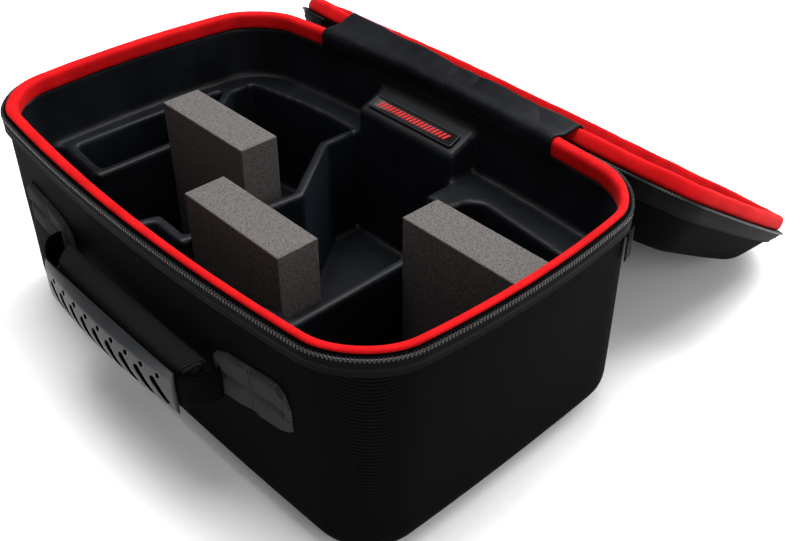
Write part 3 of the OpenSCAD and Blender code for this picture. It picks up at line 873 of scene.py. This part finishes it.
def slot_outline(x0):
    """A bar with round ends, leaning like the grip's slots, as (x, height) in millimetres."""
    lean, radius, reach, height = math.radians(-42), 2.1, 6.4, -16
    points = []
    for end, start in ((1, 0), (-1, 180)):
        for i in range(7):
            a = math.radians(start + 180 * i / 6)
            points.append((radius * math.cos(a), end * reach + radius * math.sin(a)))
    return [(x0 + 1 + u * math.cos(lean) + v * math.sin(lean),
             height - u * math.sin(lean) + v * math.cos(lean)) for u, v in points]


def hole_outline(x0):
    radius, height = 1.5, -6.8
    turns = np.linspace(0, 2 * math.pi, 14, False)
    return [(x0 + 0.6 + radius * math.cos(a), height + radius * math.sin(a)) for a in turns]


def straps():
    """Webbing loop whose curled ends turn in to the patches and rise a little."""
    curl = [(-74.5, -108.7), (-74.4, -112.6), (-72.6, -117.4), (-69.0, -121.2), (-64.0, -123.3)]
    flat = [(x, handle_line(x) / MM) for x in np.linspace(-57, 57, 9)]
    corners = curl + flat + [(-x, y) for x, y in curl[::-1]]
    path = smooth_run([Vector((x, y, 0)) for x, y in corners], 110)
    section = rounded_section([(-1.1, -22), (1.1, -22), (1.1, -2.2), (-1.1, -2.2)], 2)
    rise_most, rise_from, rise_over = 5.5, 60, 13
    rows = []
    for i, p in enumerate(path):
        d = path[min(len(path) - 1, i + 1)] - path[max(0, i - 1)]
        n = Vector((d.y, -d.x, 0)).normalized()
        rise = rise_most * min(1.0, max(0.0, (abs(p.x) - rise_from) / rise_over)) ** 1.4
        rows.append([((p.x + n.x * u) * MM, (p.y + n.y * u) * MM, GRIP_TOP + (h + rise) * MM)
                     for u, h in section])
    piece = swept("handle_webbing", rows, WEBBING, closed=False)
    finish_piece(piece, "handle", "webbing", "handle_strap")


def wall_point(x, z, out):
    """Point on the front wall at x, moved outward."""
    flat = base_outline(z, -out)
    front = flat[flat[:, 1] < 0]
    front = front[np.argsort(front[:, 0])]
    return Vector((x, float(np.interp(x, front[:, 0], front[:, 1])), z))


# the patch's lower and upper edges, as (x, height) in millimetres
PATCH_LOW = [(66, 68.5), (72, 65.6), (114, 70.5), (120.4, 73.6)]
PATCH_HIGH = [(66, 86), (70, 92), (78, 95.5), (108, 98.8), (113, 98.2), (117.5, 94), (120.4, 86)]
# where in the patch's own (u, v) its two cross seams run
CROSS_U, CROSS_V = 0.5, 0.52


def patch_point(u, v):
    """Where on the wall the patch's own (u, v) lies, both from 0 to 1."""
    start, length = 66.2, 54.2
    x = start + u * length
    low, high = (float(np.interp(x, *zip(*edge))) for edge in (PATCH_LOW, PATCH_HIGH))
    return x, low + (high - low) * v


def patch(side, name):
    """Quilted patch: its fabric swells between the edge seam and a cross of stitches."""
    columns, lines = 54, 34
    # widths of the dips along the edge seam and the cross, as parts of the patch
    seam, dip = 0.1, 0.13
    # in millimetres: room behind the fabric, its least thickness, and how far it swells
    room, flat, swell = 0.15, 0.5, 2.5
    vertices, faces, index = [], [], {}
    for layer in (0, 1):
        for i in range(columns + 1):
            for j in range(lines + 1):
                u, v = i / columns, j / lines
                x, z = patch_point(u, v)
                edge = min(u, 1 - u, v, 1 - v)
                cross = min(abs(u - CROSS_U), abs(v - CROSS_V))
                puff = min(1.0, edge / seam) ** 0.55 * (0.08 + 0.92 * min(1.0, cross / dip) ** 0.6)
                out = (room + (layer * (flat + swell * puff))) * MM
                index[layer, i, j] = len(vertices)
                vertices.append(wall_point(side * x * MM, z * MM, out))
    for i in range(columns):
        for j in range(lines):
            around = ((i, j), (i + 1, j), (i + 1, j + 1), (i, j + 1))
            for layer in (0, 1):
                faces.append(tuple(index[layer, a, b] for a, b in around))
    ring = ([(i, 0) for i in range(columns)] + [(columns, j) for j in range(lines)]
            + [(i, lines) for i in range(columns, 0, -1)] + [(0, j) for j in range(lines, 0, -1)])
    for a, b in zip(ring, ring[1:] + ring[:1]):
        faces.append((index[(0, *a)], index[(0, *b)], index[(1, *b)], index[(1, *a)]))
    piece = make_object(name, vertices, faces, PATCH)
    finish_piece(piece, "base", "patch_fabric", "handle_" + name)
    stitches(side, name + "_stitches")


def stitches(side, name):
    """Short raised threads along the patch's edge and its cross."""
    inner, outer, pitch = 0.06, 0.94, 2.5
    # a thread's radius at each distance from its middle
    thread = ((-0.85, 0.05), (-0.5, 0.2), (0.5, 0.2), (0.85, 0.05))
    runs = [((inner, inner), (outer, inner)), ((outer, inner), (outer, outer)),
            ((outer, outer), (inner, outer)), ((inner, outer), (inner, inner)),
            ((inner, CROSS_V), (outer, CROSS_V)), ((CROSS_U, inner), (CROSS_U, outer))]
    vertices, faces = [], []
    for (u0, v0), (u1, v1) in runs:
        line = [np.array(patch_point(u0 + (u1 - u0) * t, v0 + (v1 - v0) * t))
                for t in np.linspace(0, 1, 60)]
        along = np.concatenate(([0], np.cumsum([np.linalg.norm(b - a) for a, b in zip(line, line[1:])])))
        raised = 1.0 if u0 == CROSS_U or v0 == CROSS_V else 2.5
        for s in np.arange(1.0, along[-1] - 0.8, pitch):
            k = min(len(line) - 2, int(np.searchsorted(along, s)) - 1)
            d = (line[k + 1] - line[k]) / np.linalg.norm(line[k + 1] - line[k])
            middle = line[k] + d * (s - along[k])
            first = len(vertices)
            for t, r in thread:
                c = middle + d * t
                for angle in range(0, 360, 60):
                    across = r * math.cos(math.radians(angle))
                    out = raised + r * math.sin(math.radians(angle)) - abs(t) * 0.2
                    x, z = c[0] - d[1] * across, c[1] + d[0] * across
                    vertices.append(wall_point(side * x * MM, z * MM, out * MM))
            faces += [tuple(first + q for q in face) for face in strip_faces(len(thread), 6)]
    piece = make_object(name, vertices, faces, THREAD)
    finish_piece(piece, "base", "patch_fabric")


# ---- fabric hinge ----------------------------------

def hinge_cloth():
    """One sleeve of cloth from inside the base's band, over the gap, to the lid's lip."""
    lip, top = LIP / MM, (BAND_TOP - SEAM) / MM
    closed_lip = [(-7.8, 3.0), (-7.2, 2.4 - lip), (-5.6, -lip - 0.7), (-3.0, -lip - 1.2),
                  (-1.8, -lip - 1.2)]
    base_run = [(-7.5, -7.8), (-7.6, -1.5), (-6.8, top - 0.1), (-4.8, top + 1.3), (-2.6, top + 1.5)]
    columns, points = 90, 46
    fold_at, fold_depth = 0.42, 1.5 * MM
    rows = []
    for i in range(columns + 1):
        x = (-1 + 2 * i / columns) * COVER_END
        y = RIM_Y + BOW_LONG * (1 - (x / RIM_X) ** 2)
        run = [Vector((x, y + u * MM, SEAM + h * MM)) for u, h in base_run]
        over = [LID_OPEN @ Vector((x, y + u * MM, SEAM + h * MM)) for u, h in closed_lip[::-1]]
        # a shallow lengthwise fold where the cloth spans the gap
        fold = fold_depth * (0.7 + noise.noise(Vector((x / 0.04, 3, 5))))
        run += [run[-1].lerp(over[0], fold_at) - Vector((0, 0, fold))] + over
        rows.append(smooth_run(run, points))
    vertices, faces = sheet_mesh(rows, 0.7 * MM)
    piece = make_object("hinge_cloth", vertices, faces, HINGE_CLOTH)
    ripple(piece, 1.3 * MM, 34 * MM, seed=11)
    ripple(piece, 0.6 * MM, 12 * MM, seed=4)
    # half of the closed sheet's skin is one face of the cloth, with its creases
    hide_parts("hinge_cover_base", "hinge_cover_lid")
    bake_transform(piece)


def smooth_run(points, count):
    """Evenly spaced points on a smooth curve through the given ones."""
    p = np.array(points)
    fine = []
    for i in range(len(p) - 1):
        a, b, c, d = p[max(0, i - 1)], p[i], p[i + 1], p[min(len(p) - 1, i + 2)]
        for t in np.linspace(0, 1, 12, False):
            fine.append(0.5 * (2 * b + (c - a) * t + (2 * a - 5 * b + 4 * c - d) * t ** 2
                               + (3 * b - a - 3 * c + d) * t ** 3))
    fine = np.array(fine + [p[-1]])
    along = np.concatenate(([0], np.cumsum(np.linalg.norm(np.diff(fine, axis=0), axis=1))))
    wanted = np.linspace(0, along[-1], count)
    return [Vector([float(np.interp(w, along, fine[:, k])) for k in range(3)]) for w in wanted]


def sheet_mesh(rows, thick):
    """Thin closed solid over a grid of points."""
    m, n = len(rows), len(rows[0])
    grid = np.array([[tuple(p) for p in row] for row in rows])
    du = np.gradient(grid, axis=0)
    dv = np.gradient(grid, axis=1)
    normal = np.cross(du, dv)
    normal /= np.linalg.norm(normal, axis=2)[:, :, None]
    half = normal * thick / 2
    vertices = list((grid + half).reshape(-1, 3)) + list((grid - half).reshape(-1, 3))
    faces, shift = [], m * n
    for i in range(m - 1):
        for j in range(n - 1):
            a, b, c, d = i * n + j, (i + 1) * n + j, (i + 1) * n + j + 1, i * n + j + 1
            faces += [(a, b, c, d), (shift + d, shift + c, shift + b, shift + a)]
    edge = ([i * n for i in range(m - 1)] + [(m - 1) * n + j for j in range(n - 1)]
            + [i * n + n - 1 for i in range(m - 1, 0, -1)] + list(range(n - 1, 0, -1)))
    faces += [(a, shift + a, shift + b, b) for a, b in zip(edge, edge[1:] + edge[:1])]
    return vertices, faces


# ---- small trim ------------------------------------

def bevelled_metal(name, node_name, width):
    """A CAD node's shape with its edges rounded, in painted metal; its body has the same name."""
    flat_below, sharp_above = math.radians(4), math.radians(35)
    work = bmesh.new()
    work.from_mesh(frame["nodes"][node_name].data)
    bmesh.ops.remove_doubles(work, verts=work.verts, dist=1e-6)
    bmesh.ops.dissolve_limit(work, angle_limit=flat_below, verts=work.verts, edges=work.edges)
    sharp = [e for e in work.edges if len(e.link_faces) == 2 and e.calc_face_angle() > sharp_above]
    bmesh.ops.bevel(work, geom=sharp, offset=width, segments=2, affect="EDGES", clamp_overlap=True)
    mesh = bpy.data.meshes.new(name)
    work.to_mesh(mesh)
    work.free()
    finish_piece(add_object(name, mesh, METAL), name, "slider_metal", node_name)


def side_tag():
    """Blank woven tape folded into a loop and sewn in under the zip tape."""
    low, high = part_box("side_tag")
    angle, half_width = math.radians(19), 4 * MM
    turn = Matrix.Translation((low + high) / 2) @ Matrix.Rotation(angle, 4, "Z")
    tall = high.z - low.z
    rows = []
    # each row runs down the tag's front and up its back
    for w in np.linspace(-half_width, half_width, 12):
        front = [(0.55, tall / 2), (0.75, 0), (0.9, -tall / 2 + 1.2 * MM), (0.35, -tall / 2)]
        back = [(-0.15, -tall / 2 + 1.0 * MM), (-0.25, 0), (-0.3, tall / 2)]
        bend = 0.3 * MM * math.sin(w / MM * 0.7)
        rows.append([turn @ Vector((u * MM + bend, w, h)) for u, h in front + back])
    piece = swept("woven_tag", rows, TAPE, closed=False)
    finish_piece(piece, "base", "webbing", "side_tag")


# ---- build -----------------------------------------

base_shell()
lid_shell()
lid_lining()
base_band()
lid_band()
zip_tape("base")
zip_tape("lid")
zip_coil("base")
zip_coil("lid")
moulded_tray()
label()
for which in ("left", "middle", "right"):
    foam(which)
patch(-1, "patch_left")
patch(1, "patch_right")
handle()
hinge_cloth()
side_tag()
for which in ("left", "right"):
    bevelled_metal("slider_" + which, "zip_slider_" + which, 0.35 * MM)
    bevelled_metal("pull_" + which, "pull_tab_" + which, 0.25 * MM)


# ---- floor, light and camera -----------------------

def studio():
    """White floor and sky, and three soft lamps."""
    mesh = bpy.data.meshes.new("floor")
    reach = 6.0
    corners = [(-reach, -reach, 0), (reach, -reach, 0), (reach, reach, 0), (-reach, reach, 0)]
    mesh.from_pydata(corners, [], [(0, 1, 2, 3)])
    paper = new_material("floor_paper", (0.93, 0.93, 0.93), 0.9, 0.05)[0]
    add_object("floor", mesh, paper)
    world = bpy.data.worlds.new("studio")
    bpy.context.scene.world = world
    world.use_nodes = True
    sky = world.node_tree.nodes["Background"]
    sky.inputs["Color"].default_value = (1, 1, 1, 1)
    sky.inputs["Strength"].default_value = 0.42
    bpy.context.scene.view_settings.view_transform = "Standard"
    aim = Vector((0, 0.05, 0.08))
    lamps = [("key", (-0.2, 0.15, 1.5), 0.9, 27), ("back", (0.1, 1.25, 1.1), 1.1, 36),
             ("right", (1.3, -0.1, 0.7), 0.8, 7)]
    for name, spot, size, power in lamps:
        light = bpy.data.lights.new(name, "AREA")
        light.energy = power
        light.size = size
        lamp = bpy.data.objects.new(name, light)
        lamp.location = spot
        lamp.rotation_mode = "QUATERNION"
        lamp.rotation_quaternion = (aim - Vector(spot)).to_track_quat("-Z", "Y")
        bpy.context.scene.collection.objects.link(lamp)


def camera():
    """The viewing angle, the distance and the lens of the object's product view."""
    azimuth, elevation, roll = (math.radians(a) for a in (46.27, 37.11, 0.48))
    target, distance = Vector((-3.3, 82.5, 0)) * MM, 665.4 * MM
    back = Vector((math.sin(azimuth) * math.cos(elevation), -math.cos(azimuth) * math.cos(elevation),
                   math.sin(elevation)))
    right = Vector((0, 0, 1)).cross(back).normalized()
    up = back.cross(right)
    turned_right = right * math.cos(roll) + up * math.sin(roll)
    turned_up = up * math.cos(roll) - right * math.sin(roll)
    lens = bpy.data.cameras.new("camera")
    lens.sensor_width = 36
    lens.lens = 44.86
    lens.clip_start, lens.clip_end = 0.01, 20
    eye = bpy.data.objects.new("camera", lens)
    axes = Matrix((turned_right, turned_up, back)).transposed().to_4x4()
    eye.matrix_world = Matrix.Translation(target + back * distance) @ axes
    bpy.context.scene.collection.objects.link(eye)
    bpy.context.scene.camera = eye


studio()
camera()
bpy.context.view_layer.update()
